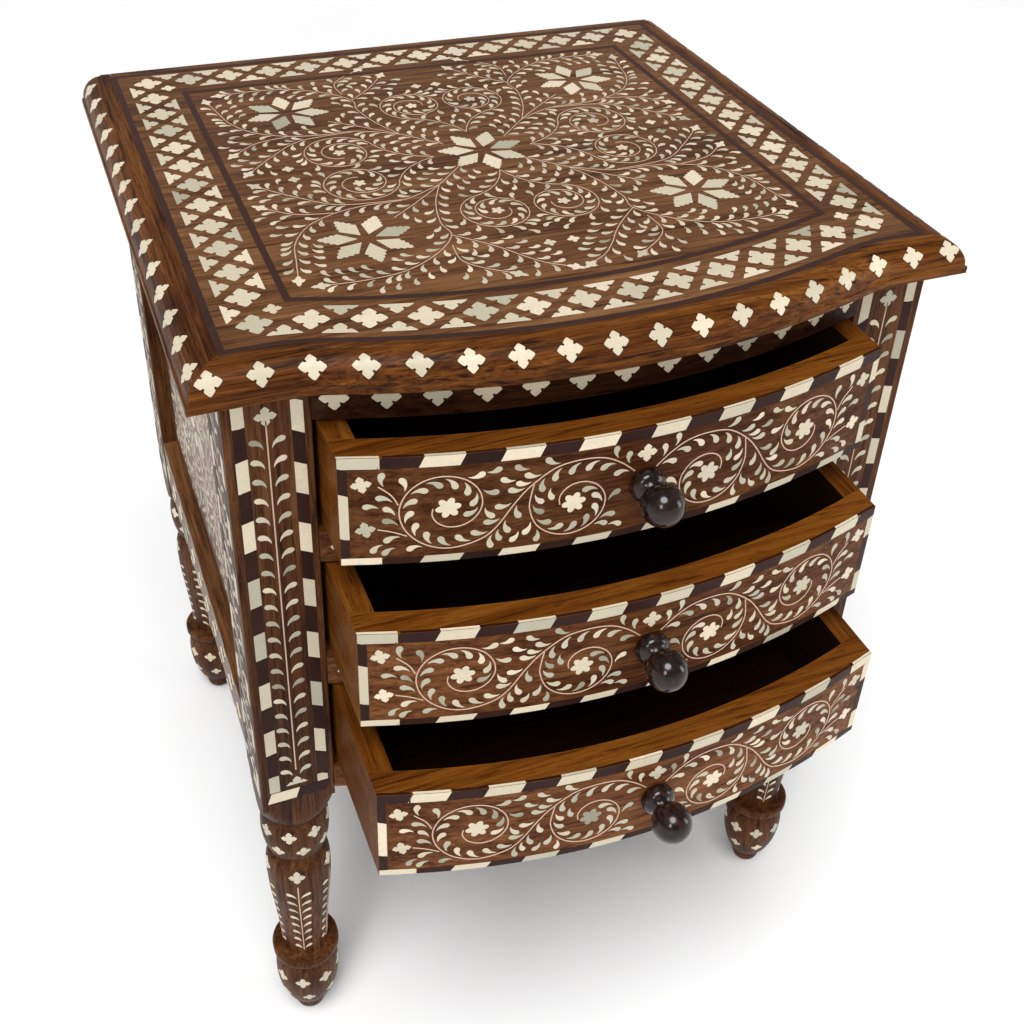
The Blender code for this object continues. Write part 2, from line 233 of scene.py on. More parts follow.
def wood(name, grain, tones, offset, shaded_side=None, veneer=None, shine=0.06, coat=0.0):
    """Oiled wood with its fibres along one axis. Its shaded side, if one is named, is darkened almost to black as
    painted shade inside a drawer;
    veneer is the palette of a front face that differs from the board behind it."""
    material, tree, shader, where = node_tree(name)
    shift = tuple(offset * share for share in LOG_SHIFT)
    layers = []
    for along, *settings in WOOD_LAYERS:
        stretch = tuple(s * along if s < 1 else s for s in GRAIN_STRETCH[grain])
        layers.append(noise(tree, where, stretch, shift, *settings))
    figure, veins, fibres, pores = layers
    blotch = maths(tree, "SUBTRACT", noise(tree, where, (1, 1, 1), shift, 5, 2), 0.5)
    tone = maths(tree, "MULTIPLY", figure, 0.48)
    for layer, share in ((veins, 0.36), (fibres, 0.26), (blotch, 0.25)):
        tone = maths(tree, "ADD", tone, maths(tree, "MULTIPLY", layer, share))
    tone = spread(tree, tone, 0.40, 0.69, 0.0, 1.0)
    colour = ramp(tree, tone, tuple(zip(TONE_PLACES, tones)))
    if veneer:
        face = ramp(tree, tone, tuple(zip(TONE_PLACES, veneer)))
        colour = mix(tree, facing_share(tree, where, "front"), colour, face)
    pore_mask = spread(tree, pores, 0.36, 0.30, 0.0, 0.65)
    line_mask = spread(tree, veins, 0.43, 0.35, 0.0, 0.80)
    for mask, lightness in ((pore_mask, 0.45), (line_mask, 0.8)):
        colour = mix(tree, mask, colour, tuple(c * lightness for c in tones[0]))
    edges = edge_mask(tree, 0.0011)
    colour = mix(tree, maths(tree, "MULTIPLY", edges, 0.45), colour, tuple(c * 1.35 for c in tones[3]))
    # painted shade: the named faces darkened almost to black, as inside a drawer
    if shaded_side:
        painted_shade = maths(tree, "MULTIPLY", facing_share(tree, where, shaded_side), 0.94)
        colour = mix(tree, painted_shade, colour, INSIDE_SHADE_COLOUR)
    rough = maths(tree, "ADD", spread(tree, fibres, 0.3, 0.7, 0.50, 0.36), maths(tree, "MULTIPLY", edges, 0.12))
    rough = maths(tree, "ADD", rough, maths(tree, "MULTIPLY", pore_mask, 0.25))
    height = maths(tree, "SUBTRACT", fibres, maths(tree, "MULTIPLY", pore_mask, 0.9))
    finish_surface(tree, shader, colour, rough, shine, (coat, 0.30), (height, 0.32, 0.00035))
    return material


# grey shell, bone up to its lightest, and past that the pinkish wire of the stems
LIGHTEST, STEM_TONE = 0.86, 1.0
BONE_TONES = ((0.0, (0.270, 0.250, 0.180)), (0.20, (0.430, 0.400, 0.300)), (0.50, (0.600, 0.525, 0.385)),
              (LIGHTEST, (0.760, 0.650, 0.480)), (0.95, (0.600, 0.400, 0.290)))


def tone_of_piece(tree):
    return add(tree, "Attribute", attribute_name="tone").outputs["Fac"]


def bone():
    """Camel bone and shell, each piece of its own tone, with fine flecks and greyer clouds."""
    material, tree, shader, where = node_tree("bone")
    colour = ramp(tree, tone_of_piece(tree), BONE_TONES)
    flecks = noise(tree, where, (1.0, 0.35, 1.0), (0, 0, 0), 900, 3, 0.6)
    cloud = noise(tree, where, (1, 1, 1), (3, 1, 2), 160, 2)
    colour = mix(tree, spread(tree, flecks, 0.52, 0.72, 0.0, 0.35), colour, (0.42, 0.33, 0.20))
    colour = mix(tree, spread(tree, cloud, 0.5, 0.75, 0.0, 0.30), colour, (0.50, 0.49, 0.41))
    rough = spread(tree, cloud, 0.3, 0.7, 0.26, 0.46)
    finish_surface(tree, shader, colour, rough, 0.3, relief=(flecks, 0.12, 0.0002))
    return material


def mottled(name, figure, stops, rough, specular, coat=(0.0, 0.03), relief=None, by_piece=False):
    """One noise in the colour, the roughness and the relief; by_piece lets each inlaid piece differ too."""
    material, tree, shader, where = node_tree(name)
    mask = noise(tree, where, *figure)
    value = mask
    if by_piece:
        own = maths(tree, "MULTIPLY", tone_of_piece(tree), 0.4)
        value = maths(tree, "ADD", maths(tree, "MULTIPLY", mask, 0.7), own)
    finish_surface(tree, shader, ramp(tree, value, stops), spread(tree, mask, 0.3, 0.7, *rough), specular, coat,
                   relief and (mask, *relief))
    return material


def ebony(name, base, light):
    """Purple-brown ebony strip with faint streaks."""
    return mottled(name, ((0.12, 0.5, 0.12), (0, 0, 0), 600, 3, 0.6), ((0.25, base), (0.85, light)),
                   (0.34, 0.50), 0.1, relief=(0.15, 0.0002), by_piece=True)


BONE = bone()
# the top's ebony is lighter and greyer than the drawers': partly painted sheen from the light on the top
EBONY_LINE = ebony("ebony_line", (0.0186, 0.0074, 0.0056), (0.0465, 0.0205, 0.0149))
EBONY_STRIP = ebony("ebony_strip", (0.0124, 0.0031, 0.0025), (0.0347, 0.0112, 0.0068))
# ebonised and polished turning: black with a red-brown glow where the stain is thin
KNOB_BLACK = mottled("knob_black", ((1.0, 0.2, 1.0), (5, 2, 1), 240, 4, 0.6, 0.8),
                     ((0.45, (0.006, 0.0035, 0.003)), (0.80, (0.045, 0.014, 0.008))),
                     (0.14, 0.26), 0.25, (0.32, 0.05), (0.10, 0.0003))
STEEL = mottled("screw_steel", ((1, 1, 1), (0, 0, 0), 900, 3),
                ((0.3, (0.30, 0.29, 0.27)), (0.7, (0.48, 0.47, 0.45))), (0.25, 0.45), 0.5)
STEEL.node_tree.nodes["Principled BSDF"].inputs["Metallic"].default_value = 1.0
FLOOR_PAINT = mottled("floor", ((1, 1, 1), (0, 0, 0), 3, 3),
                      ((0.3, (0.86, 0.86, 0.86)), (0.7, (0.90, 0.90, 0.90))), (0.75, 0.75), 0.2)

# --- dressing of the CAD boards
# grain, palette, shine, coat, and each board's own place in the log
BOARD_LOOKS = (
    ("X", ROSEWOOD_TONES, 0.14, 0.0, {"top_board": 1.0}),
    ("X", MOULDING_TONES, 0.10, 0.0, {"top_moulding_front": 2.3}),
    ("Y", MOULDING_TONES, 0.10, 0.0, {"top_moulding_left": 3.1, "top_moulding_right": 4.7}),
    # apron rail under the top's overhang: painted shade
    ("X", PAINTED_SHADE_TONES, 0.06, 0.0, {"apron_rail": 5.2}),
    ("X", FRONT_TONES, 0.06, 0.0, {"upper_divider_rail": 6.1, "lower_divider_rail": 7.9, "bottom_rail": 8.4}),
    ("Y", ROSEWOOD_TONES, 0.2, 0.15, {"left_upper_rail": 9.3, "left_lower_rail": 10.8,
                                      "right_upper_rail": 11.6, "right_lower_rail": 12.2}),
    ("Y", ROSEWOOD_TONES, 0.2, 0.25, {"left_panel": 13.9, "right_panel": 14.5}),
    ("X", FRONT_TONES, 0.3, 0.0, {"back_upper_rail": 15.1, "back_lower_rail": 16.6, "back_panel": 17.4}),
)
EDGE_RADIUS = 0.0005


def dress(node_name, material, eased=True):
    """Material of a CAD board, with smooth shading and eased edges by modifiers alone."""
    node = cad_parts[node_name]
    node.data.materials.clear()
    node.data.materials.append(material)
    if not eased:
        return
    node.data.polygons.foreach_set("use_smooth", [True] * len(node.data.polygons))
    node.modifiers.new("weld", "WELD").merge_threshold = 0.00002
    bevel = node.modifiers.new("eased_edges", "BEVEL")
    bevel.width = EDGE_RADIUS
    bevel.segments = 2
    bevel.limit_method = "ANGLE"
    bevel.angle_limit = radians(35)
    node.modifiers.new("normals", "WEIGHTED_NORMAL").keep_sharp = False


for grain, tones, shine, coat, boards in BOARD_LOOKS:
    for node_name, offset in boards.items():
        dress(node_name, wood(f"wood_{node_name}", grain, tones, offset, shine=shine, coat=coat))

bare = wood("wood_runners", "Y", toned(BOX_TONES, 0.6), 18.3)
for label in ("left", "right"):
    dress(f"kicker_{label}", bare)
    for number in (1, 2, 3):
        dress(f"runner_{number}_{label}", bare)

FRONT_LIGHTNESS = (0.85, 1.1, 1.3)
for number in (1, 2, 3):
    offset = 20.0 + number * 1.7
    prefix = f"drawer_{number}_"
    face = toned(FRONT_TONES, FRONT_LIGHTNESS[number - 1])
    # painted shade inside each drawer: the front's back face and the sides' inner faces darkened almost to black
    dress(prefix + "front", wood(f"wood_{prefix}front", "X", BOX_TONES, offset, "back", face))
    sides = wood(f"wood_{prefix}sides", "Y", toned(BOX_TONES, 0.85), offset + 0.4, "middle")
    dress(prefix + "left_side", sides)
    dress(prefix + "right_side", sides)
    # back and bottom of each drawer nearly black: painted shade inside the drawer
    shaded_inside = wood(f"wood_{prefix}lining", "X", toned(BOX_TONES, 0.08), offset + 0.8)
    dress(prefix + "back", shaded_inside)
    dress(prefix + "bottom", shaded_inside)
    dress(prefix + "knob_screw", STEEL, eased=False)


# --- new objects
def add_object(name, data):
    obj = bpy.data.objects.new(name, data)
    bpy.context.scene.collection.objects.link(obj)
    return obj


def add_mesh(name, vertices, faces, material):
    mesh = bpy.data.meshes.new(name)
    mesh.from_pydata(vertices, [], faces)
    mesh.materials.append(material)
    return add_object(name, mesh)


def add_turning(name, vertices, faces, material, sharp):
    """Smooth-shaded piece, with sharp edges where its faces meet at more than the angle sharp."""
    turning = add_mesh(name, vertices, faces, material)
    mesh = turning.data
    mesh.validate()
    mesh.polygons.foreach_set("use_smooth", [True] * len(mesh.polygons))
    mesh.set_sharp_from_angle(angle=sharp)
    mesh.update()
    return turning


def band(low, high, closed=True):
    """Faces between two rows of vertex numbers."""
    count = len(low)
    pairs = [(i, (i + 1) % count) for i in range(count if closed else count - 1)]
    return [(low[i], low[j], high[j], high[i]) for i, j in pairs]


# --- flat shapes, in millimetres
def turned(points, angle, u=0.0, v=0.0):
    """Points turned anticlockwise by angle (radians) and moved."""
    c, s = cos(angle), sin(angle)
    return [(u + x * c - y * s, v + x * s + y * c) for x, y in points]


def lobed(radius, lobes, notch, points_per_lobe=8):
    """Rosette with round lobes and sharp notches between them; notch is the radius there, as a share."""
    count = lobes * points_per_lobe
    outline = []
    for i in range(count):
        a = 2 * pi * i / count
        r = radius * (notch + (1 - notch) * abs(cos(lobes * a / 2)))
        outline.append((r * cos(a), r * sin(a)))
    return outline


FOIL_QUARTER = ((1.0, 0.0), (0.94, 0.11), (0.67, 0.37), (0.57, 0.41), (0.45, 0.34), (0.36, 0.36), (0.34, 0.45),
                (0.41, 0.57), (0.37, 0.67), (0.11, 0.94))


def quatrefoil(radius, u=0.0, v=0.0):
    """Diamond with a round bite out of the middle of each side, about (u, v)."""
    quarter = [(a * radius, b * radius) for a, b in FOIL_QUARTER]
    return turned([p for k in range(4) for p in turned(quarter, k * pi / 2)], 0, u, v)


def half_quatrefoil(radius):
    """Upper half of a quatrefoil, flat side down."""
    points = [p for p in quatrefoil(radius) if p[1] > -1e-6]
    return sorted(points, key=lambda p: atan2(p[1], p[0]))


BEND = 1.45
LEAF_WIDTHS = ((0.16, 0.20), (0.34, 0.42), (0.52, 0.72), (0.68, 0.95), (0.80, 1.0), (0.90, 0.84), (0.97, 0.46))


def along_leaf(length, bend, share):
    """Point on a leaf's midline, an arc that starts along +v and turns by bend towards +u."""
    radius = length / bend
    return radius * (1 - cos(bend * share)), radius * sin(bend * share)


def leaf(length, width, bend):
    """Comma-shaped leaf: thin tail at the origin, round head at the end of its arc."""
    right, left = [], []
    for share, w in LEAF_WIDTHS:
        u, v = along_leaf(length, bend, share)
        a, half = bend * share, width / 2 * w
        right.append((u + half * cos(a), v - half * sin(a)))
        left.append((u - half * cos(a), v + half * sin(a)))
    return [(0.0, 0.0)] + right + [along_leaf(length, bend, 1.0)] + left[::-1]


BUD_HALF = ((0.10, 0.12), (0.17, 0.34), (0.34, 0.38), (0.25, 0.58), (0.13, 0.66), (0.11, 0.84))
PETAL_START = 0.19
PETAL_HALF = ((0.228, 0.60), (0.165, 0.665), (0.185, 0.725), (0.115, 0.775), (0.130, 0.835), (0.062, 0.885),
              (0.068, 0.935))


def mirrored(start, half, size):
    """Outline from (0, start) to a tip at +v, alike on both sides; start and half are shares of size."""
    right = [(u * size, v * size) for u, v in half]
    return [(0.0, start * size)] + right + [(0.0, size)] + [(-u, v) for u, v in reversed(right)]


def bud(length):
    """Serrated bud on its stem end at the origin."""
    return mirrored(0.0, BUD_HALF, length)


def petal(radius):
    """One petal of a star, pointing to +v from the star's centre."""
    return mirrored(PETAL_START, PETAL_HALF, radius)


def curve_point(a, b, c, d, t):
    """Point at share t between b and c on the Catmull-Rom curve."""
    return tuple(0.5 * (2 * q + (r - p) * t + (2 * p - 5 * q + 4 * r - s) * t * t + (3 * q - p - 3 * r + s) * t ** 3)
                 for p, q, r, s in zip(a, b, c, d))


def smooth_path(points, step=2.0):
    """Catmull-Rom curve through the points, in steps of about step."""
    path = []
    ends = [points[0]] + list(points) + [points[-1]]
    for a, b, c, d in zip(ends, ends[1:], ends[2:], ends[3:]):
        count = max(1, round(dist(b, c) / step))
        path += [curve_point(a, b, c, d, i / count) for i in range(count)]
    path.append(tuple(points[-1]))
    return path


def spiral(centre, start, turn, radii, step=15):
    """Points of a spiral whose radius takes the given values at successive quarter turns (angles in degrees)."""
    points = []
    quarters = len(radii) - 1
    for i in range(quarters * 90 // step + 1):
        share = i * step / 90
        k = min(int(share), quarters - 1)
        r = radii[k] + (radii[k + 1] - radii[k]) * (share - k)
        a = radians(start + turn * i * step)
        points.append((centre[0] + r * cos(a), centre[1] + r * sin(a)))
    return points


def area(points):
    return sum(a[0] * b[1] - b[0] * a[1] for a, b in zip(points, points[1:] + points[:1])) / 2


def unit(dx, dy):
    size = hypot(dx, dy) or 1.0
    return dx / size, dy / size


def normals_2d(points, closed):
    """Mitred unit offsets to the right of travel at each point."""
    result = []
    last = len(points) - 1
    for i, (x, y) in enumerate(points):
        directions = []
        if i or closed:
            directions.append(unit(x - points[i - 1][0], y - points[i - 1][1]))
        if i < last or closed:
            after = points[i + 1 if i < last else 0]
            directions.append(unit(after[0] - x, after[1] - y))
        dx, dy = unit(*(sum(parts) for parts in zip(*directions)))
        mitre = 1.0
        if len(directions) == 2:
            mitre = 1 / max(0.45, dx * directions[0][0] + dy * directions[0][1])
        result.append((dy * mitre, -dx * mitre))
    return result


# --- inlay meshes
class Inlay:
    """Thin pieces let into one body, gathered in one mesh. Pieces stand a hair proud, with eased arrises."""

    def __init__(self, name, body, material, slot=None, dull=0.0):
        self.name, self.body, self.material, self.slot = name, body, material, slot
        self.vertices, self.faces, self.tones = [], [], []
        self.random = random.Random(name)
        self.dull = dull

    def ring(self, points, place, lift, tone):
        start = len(self.vertices)
        for u, v in points:
            point, normal = place(u * MM, v * MM)
            self.vertices.append(point + normal * lift)
            self.tones.append(tone)
        return range(start, start + len(points))

    def tone(self, dull=0.0):
        """Mostly light pieces, with a few greyer ones."""
        return min(LIGHTEST, max(0.0, self.random.gauss(0.58 - self.dull - dull, 0.20)))

    def piece(self, outline, place, curved=False, dull=0.0):
        """One piece with the given outline (millimetres); on a curved face its top follows the curve."""
        points = list(outline) if area(outline) > 0 else list(outline)[::-1]
        inset = [(u - nu * ARRIS / MM, v - nv * ARRIS / MM)
                 for (u, v), (nu, nv) in zip(points, normals_2d(points, True))]
        tone = self.tone(dull)
        rings = [self.ring(line, place, lift, tone)
                 for line, lift in ((points, -SUNK), (points, PROUD - ARRIS), (inset, PROUD))]
        for low, high in zip(rings, rings[1:]):
            self.faces += band(low, high)
        self.faces.append(tuple(rings[0])[::-1])
        if not curved:
            self.faces.append(tuple(rings[-1]))
            return
        middle = [sum(values) / len(inset) for values in zip(*inset)]
        outer = rings[-1]
        for share in (0.72, 0.44, 0.18):
            nearer = [(middle[0] + (u - middle[0]) * share, middle[1] + (v - middle[1]) * share) for u, v in inset]
            inner = self.ring(nearer, place, PROUD, tone)
            self.faces += band(outer, inner)
            outer = inner
        self.faces.append(tuple(outer))

    def ribbon(self, path, width, place, closed=False):
        """A strip of even width along a path."""
        offsets = normals_2d(path, closed)
        half = width / 2
        rows = []
        for side, lift in ((half, -SUNK), (half, PROUD - ARRIS), (half - 0.1, PROUD),
                           (0.1 - half, PROUD), (-half, PROUD - ARRIS), (-half, -SUNK)):
            points = [(p[0] + n[0] * side, p[1] + n[1] * side) for p, n in zip(path, offsets)]
            rows.append(self.ring(points, place, lift, STEM_TONE))
        for one, two in zip(rows, rows[1:] + rows[:1]):
            self.faces += band(one, two, closed)
        if not closed:
            self.faces.append(tuple(row[0] for row in rows))
            self.faces.append(tuple(row[-1] for row in rows)[::-1])

    def slab(self, low, high, start, end, slant_low, slant_high, place, bands=5):
        """A strip piece from start to end along u, between v low and high, its ends slanted."""
        points = []
        for v, slant, order in ((low, slant_low, range(bands + 1)), (high, slant_high, range(bands, -1, -1))):
            points += [(start + slant + (end - start) * k / bands, v) for k in order]
        tone = self.tone()
        rings = [self.ring(points, place, lift, tone) for lift in (-SUNK, PROUD)]
        count = len(points)
        self.faces += band(*rings)
        for k in range(bands):
            for ring, flip in ((rings[1], 1), (rings[0], -1)):
                face = (ring[k], ring[k + 1], ring[count - 2 - k], ring[count - 1 - k])
                self.faces.append(face[::flip])

    def finish(self):
        obj = add_mesh(self.name, [tuple(v) for v in self.vertices], self.faces, self.material)
        obj.data.attributes.new("tone", "FLOAT", "POINT").data.foreach_set("value", self.tones)
        obj.data.validate()
        obj.data.update()
        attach(obj, self.body)


class Pattern:
    """Flat scrollwork in millimetres: stems, rosettes, buds, and leaves grown where there is room."""

    CELL = 6.0
    REACH = 4

    def __init__(self, keep_inside):
        self.stems, self.shapes, self.leaves, self.cells = [], [], [], {}
        self.keep_inside = keep_inside

    def cell(self, point):
        return round(point[0] / self.CELL), round(point[1] / self.CELL)

    def take(self, point, radius):
        self.cells.setdefault(self.cell(point), []).append((point, radius))

    def free(self, point, radius, gap):
        if not self.keep_inside(point, radius):
            return False
        kx, ky = self.cell(point)
        for ix in range(kx - self.REACH, kx + self.REACH + 1):
            for iy in range(ky - self.REACH, ky + self.REACH + 1):
                for other, size in self.cells.get((ix, iy), ()):
                    if dist(point, other) < radius + size + gap:
                        return False
        return True

    def stem(self, path):
        self.stems.append(path)
        for point in path:
            self.take(point, 0.5)

    def shape(self, outline, centre, radius):
        self.shapes.append(outline)
        self.take(centre, radius)

    def grow(self, path, pitch, length, width, lean, gap, off, start):
        """Leaves up both sides of a path, left out where they would touch something."""
        travelled, wanted = 0.0, start
        for a, b in zip(path, path[1:]):
            step = dist(a, b)
            while travelled + step >= wanted:
                t = (wanted - travelled) / step
                x, y = a[0] + (b[0] - a[0]) * t, a[1] + (b[1] - a[1]) * t
                heading = atan2(b[1] - a[1], b[0] - a[0])
                for side in (1, -1):
                    angle = heading - pi / 2 + side * lean
                    tail = (x - side * off * sin(heading), y + side * off * cos(heading))
                    bend = -BEND * side
                    outline = turned(leaf(length, width, bend), angle, *tail)
                    middle, head = turned([along_leaf(length, bend, share) for share in (0.45, 0.80)], angle, *tail)
                    size = width / 2
                    if self.free(middle, size * 0.7, gap) and self.free(head, size, gap):
                        self.leaves.append(outline)
                        self.take(middle, size * 0.7)
                        self.take(head, size)
                wanted += pitch
            travelled += step

    def fill(self, paths, *passes):
        """Grow leaves along all paths, once for each set of grow()'s values."""
        for values in passes:
            for path in paths:
                self.grow(path, *values)

    def lay(self, inlay, place, stem_width=1.0, dull=0.0):
        for path in self.stems:
            inlay.ribbon(path, stem_width, place)
        for outline in self.shapes:
            inlay.piece(outline, place)
        for outline in self.leaves:
            inlay.piece(outline, place, dull=dull)


# --- where the faces are
def on_top(u, v):
    """u is x, v the distance behind the posts' front faces."""
    return Vector((u, FRONT_PLANE + v, TOP)), Vector((0, 0, 1))


def on_front(drop, outward=0.0):
    """Bowed upright face: u is x, v height above drop."""
    def place(u, v):
        normal = Vector((-bow_slope(u), -1.0, 0.0)).normalized()
        return Vector((u, FRONT_PLANE - outward - bow(u), drop + v)), normal
    return place


def on_post_front(x):
    def place(u, v):
        return Vector((x + u, FRONT_PLANE, v)), Vector((0, -1, 0))
    return place


def on_side(side, x, y, height):
    """Upright side face: u runs from y towards the viewer's right, v up from height."""
    def place(u, v):
        return Vector((side * x, y + side * u, height + v)), Vector((side, 0, 0))
    return place


def ovolo(t):
    """(inward, height, outward share, upward share) at arc length t up the ovolo."""
    a = pi / 2 * t / OVOLO_LENGTH
    wide, high = OVOLO_HEAD - OVOLO_FOOT, QUIRK - FILLET_TOP
    out, up = high * cos(a), wide * sin(a)
    size = hypot(out, up)
    return OVOLO_FOOT + wide * (1 - cos(a)), FILLET_TOP + high * sin(a), out / size, up / size


def on_front_ovolo(u, t):
    inward, height, out, up = ovolo(t)
    plan = Vector((-bow_slope(u), -1.0, 0.0)).normalized()
    return Vector((u, FRONT_PLANE - TIP_OUT - bow(u) + inward, height)), plan * out + Vector((0, 0, up))


def on_side_ovolo(side):
    def place(u, t):
        inward, height, out, up = ovolo(t)
        return Vector((side * (HALF_TOP - inward), side * u, height)), Vector((side * out, 0, up))
    return place


# --- top
LINE_X, LINE_BACK, LINE_FRONT, LINE_WIDTH = 225.0, 418.0, 8.0, 4.4
FIELD_X, FIELD_BACK, FIELD_FRONT = 178.5, 373.0, 54.0
BAND_X, BAND_BACK, BAND_FRONT, BAND_HALF = 202.0, 398.5, 31.0, 14.6
SIDE_COUNT, ROW_COUNT = 13, 14
MIDDLE_Y = 210.0


def bowed_frame(x, back, front):
    """Closed outline in millimetres: straight sides and back, front following the bow."""
    steps = 40
    path = [(-x + 2 * x * k / steps, front - bow((-x + 2 * x * k / steps) * MM) / MM) for k in range(steps + 1)]
    return path + [(x, back), (-x, back)]


top_ebony = Inlay("top_ebony_lines", "root", EBONY_LINE, "black_wood")
top_bone = Inlay("top_bone_inlay", "root", BONE)
top_ebony.ribbon(bowed_frame(LINE_X, LINE_BACK, LINE_FRONT), LINE_WIDTH, on_top, closed=True)
top_ebony.ribbon(bowed_frame(FIELD_X, FIELD_BACK, FIELD_FRONT), LINE_WIDTH, on_top, closed=True)


def lattice_row(start, end, count, follow, skip_ends, inner):
    """Quatrefoils from start to end with half ones between them on both edges of the band.
    inner is the side of the field: 1 to the right of travel, -1 to the left; its ends are left to the corners."""
    full, half = quatrefoil(10.6), half_quatrefoil(10.2)
    places = [tuple(a + (b - a) * k / (count - 1) for a, b in zip(start, end)) for k in range(count)]
    heading = atan2(end[1] - start[1], end[0] - start[0])

    def bent(x, y):
        """Place and tilt of a piece, on the bow if the row follows it."""
        return (x, y - bow(x * MM) / MM, -atan(bow_slope(x * MM))) if follow else (x, y, 0.0)

    for k, place in enumerate(places):
        if skip_ends and k in (0, count - 1):
            continue
        x, y, tilt = bent(*place)
        top_bone.piece(turned(full, heading + tilt, x, y), on_top)
    for one, two in zip(places, places[1:]):
        x, y, tilt = bent((one[0] + two[0]) / 2, (one[1] + two[1]) / 2)
        for side in (1, -1):
            if side == inner and (one is places[0] or two is places[-1]):
                continue
            angle = heading + tilt + (0 if side == 1 else pi)
            base = turned([(0.0, -BAND_HALF)], angle, x, y)[0]
            top_bone.piece(turned(half, angle, *base), on_top)


lattice_row((-BAND_X, BAND_FRONT), (BAND_X, BAND_FRONT), ROW_COUNT, True, False, -1)
lattice_row((-BAND_X, BAND_BACK), (BAND_X, BAND_BACK), ROW_COUNT, False, False, 1)
for side in (-1, 1):
    lattice_row((side * BAND_X, BAND_FRONT), (side * BAND_X, BAND_BACK), SIDE_COUNT, False, True, -side)
    for y in (BAND_FRONT + BAND_HALF - 1.5, BAND_BACK - BAND_HALF + 1.5):
        top_bone.piece(quatrefoil(5.6, side * (BAND_X - BAND_HALF + 1.5), y), on_top)


def in_top_field(point, radius):
    x, y = point
    edge = LINE_WIDTH / 2 + 1.2 + radius
    return (abs(x) < FIELD_X - edge and y < FIELD_BACK - edge
            and y > FIELD_FRONT - bow(x * MM) / MM + edge)


field = Pattern(in_top_field)


def four_ways(path):
    """A path and its mirror images in the two middle lines of the top."""
    return [[(sx * x, MIDDLE_Y + sy * (y - MIDDLE_Y)) for x, y in path] for sx in (1, -1) for sy in (1, -1)]


def star(x, y, radius, start):
    for k in range(7):
        angle = start + 2 * pi * k / 7
        field.shapes.append(turned(petal(radius), angle, x, y))
    for reach in (0.25, 0.5, 0.75, 1.0):
        for k in range(14):
            angle = start + pi * k / 7
            out = radius * reach * (1.0 if k % 2 == 0 else 0.72)
            field.take((x - out * sin(angle), y + out * cos(angle)), 2.5)


star(0, MIDDLE_Y, 32, pi)
for x, y, start in ((115, 314, 0), (114.3, 108.3, pi)):
    for side in (-1, 1):
        star(side * x, y, 31, start)

# one quarter of the field's stems, front left; the others mirror it
QUARTER_STEMS = (
    ((-23, 192), (-47, 167), (-68, 148), (-90, 130)),
    ((-47, 167), (-58, 142), (-64, 115), (-63, 97), (-78, 78), (-102, 63), (-128, 59), (-150, 60)),
    ((-63, 97), (-48, 82), (-38, 70), (-30, 58), (-20, 46), (-10, 39)),
    ((-67, 84), (-68, 65), (-60, 53), (-46, 42)),
    ((-47, 167), (-75, 153), (-102, 152), (-125, 147), (-145, 135), (-158, 115), (-163, 92), (-166, 76)),
    ((-78, 153), (-118, 158), (-142, 177), (-160, 196)),
    ((-125, 148), (-148, 153), (-163, 165)),
)
for index, points in enumerate(QUARTER_STEMS):
    for path in four_ways(smooth_path(points)):
        if index == 2 and path[-1][1] > MIDDLE_Y:
            path = [(x, y) for x, y in path if y < FIELD_BACK - 12]
        field.stem(path)
        if index > 0:
            (x0, y0), (x1, y1) = path[-2], path[-1]
            angle = atan2(y1 - y0, x1 - x0) - pi / 2
            tip = turned([(0.0, 6.0)], angle, x1, y1)[0]
            field.shape(turned(bud(12.5), angle, x1, y1), tip, 4.0)

# four pointed loops on the middle lines, each opening into a pair of spirals
LOOP_TIP, SPIRAL_OUT, SPIRAL_SIDE = 36.0, 97.0, 25.0
LOOP_POINTS = ((LOOP_TIP, 0.0), (47.0, 4.5), (58.0, 12.0), (66.5, 21.5))
SPIRAL_RADII = (27.0, 25.5, 24.0, 21.5, 18.0, 14.5, 11.5, 9.0)
for index in range(4):
    axis = index * pi / 2
    stretch = 1.0 if index % 2 == 0 else 0.93
    for flip in (1, -1):
        lead = smooth_path(LOOP_POINTS)[:-1]
        coil = spiral((SPIRAL_OUT, SPIRAL_SIDE), 172, -1, SPIRAL_RADII)
        path = [(a * stretch, flip * b * stretch) for a, b in lead + coil]
        path = turned(path, axis, 0.0, MIDDLE_Y)
        field.stem(path)
        heart = turned([(SPIRAL_OUT * stretch, flip * SPIRAL_SIDE * stretch)], axis, 0.0, MIDDLE_Y)[0]
        field.shape(turned(lobed(4.6, 5, 0.55, 6), axis, *heart), heart, 4.6)

for x, y in ((-8, 336), (8, 336), (-8, 69), (8, 69), (-137, 220), (-137, 203), (137, 220), (137, 203)):
    field.shape(quatrefoil(4.3, x, y), (x, y), 4.3)

field.fill(field.stems, (11.2, 9.6, 3.6, 0.14, 0.9, 1.8, 3.0), (9.0, 8.8, 3.5, 0.14, 2.0, 2.2, 6.0),
           (9.0, 8.8, 3.5, 0.4, 2.4, 10.5, 2.0))
field.lay(top_bone, on_top, 0.68, dull=0.10)

# --- moulding and rails
moulding_bone = Inlay("moulding_bone_inlay", "root", BONE)
OVOLO_MIDDLE = OVOLO_LENGTH / MM * 0.50
FRONT_FOILS, SIDE_FOILS = 18, 15
FOIL_SPAN = 236
for k in range(FRONT_FOILS):
    x = -FOIL_SPAN + 2 * FOIL_SPAN * k / (FRONT_FOILS - 1)
    moulding_bone.piece(quatrefoil(7.6, x, OVOLO_MIDDLE), on_front_ovolo, curved=True)
side_from, side_to = (FRONT_PLANE + 0.004) / MM, (TOP_BACK - 0.014) / MM
for side in (-1, 1):
    for k in range(SIDE_FOILS):
        y = side_from + (side_to - side_from) * k / (SIDE_FOILS - 1)
        moulding_bone.piece(quatrefoil(7.4, side * y, OVOLO_MIDDLE), on_side_ovolo(side), curved=True)

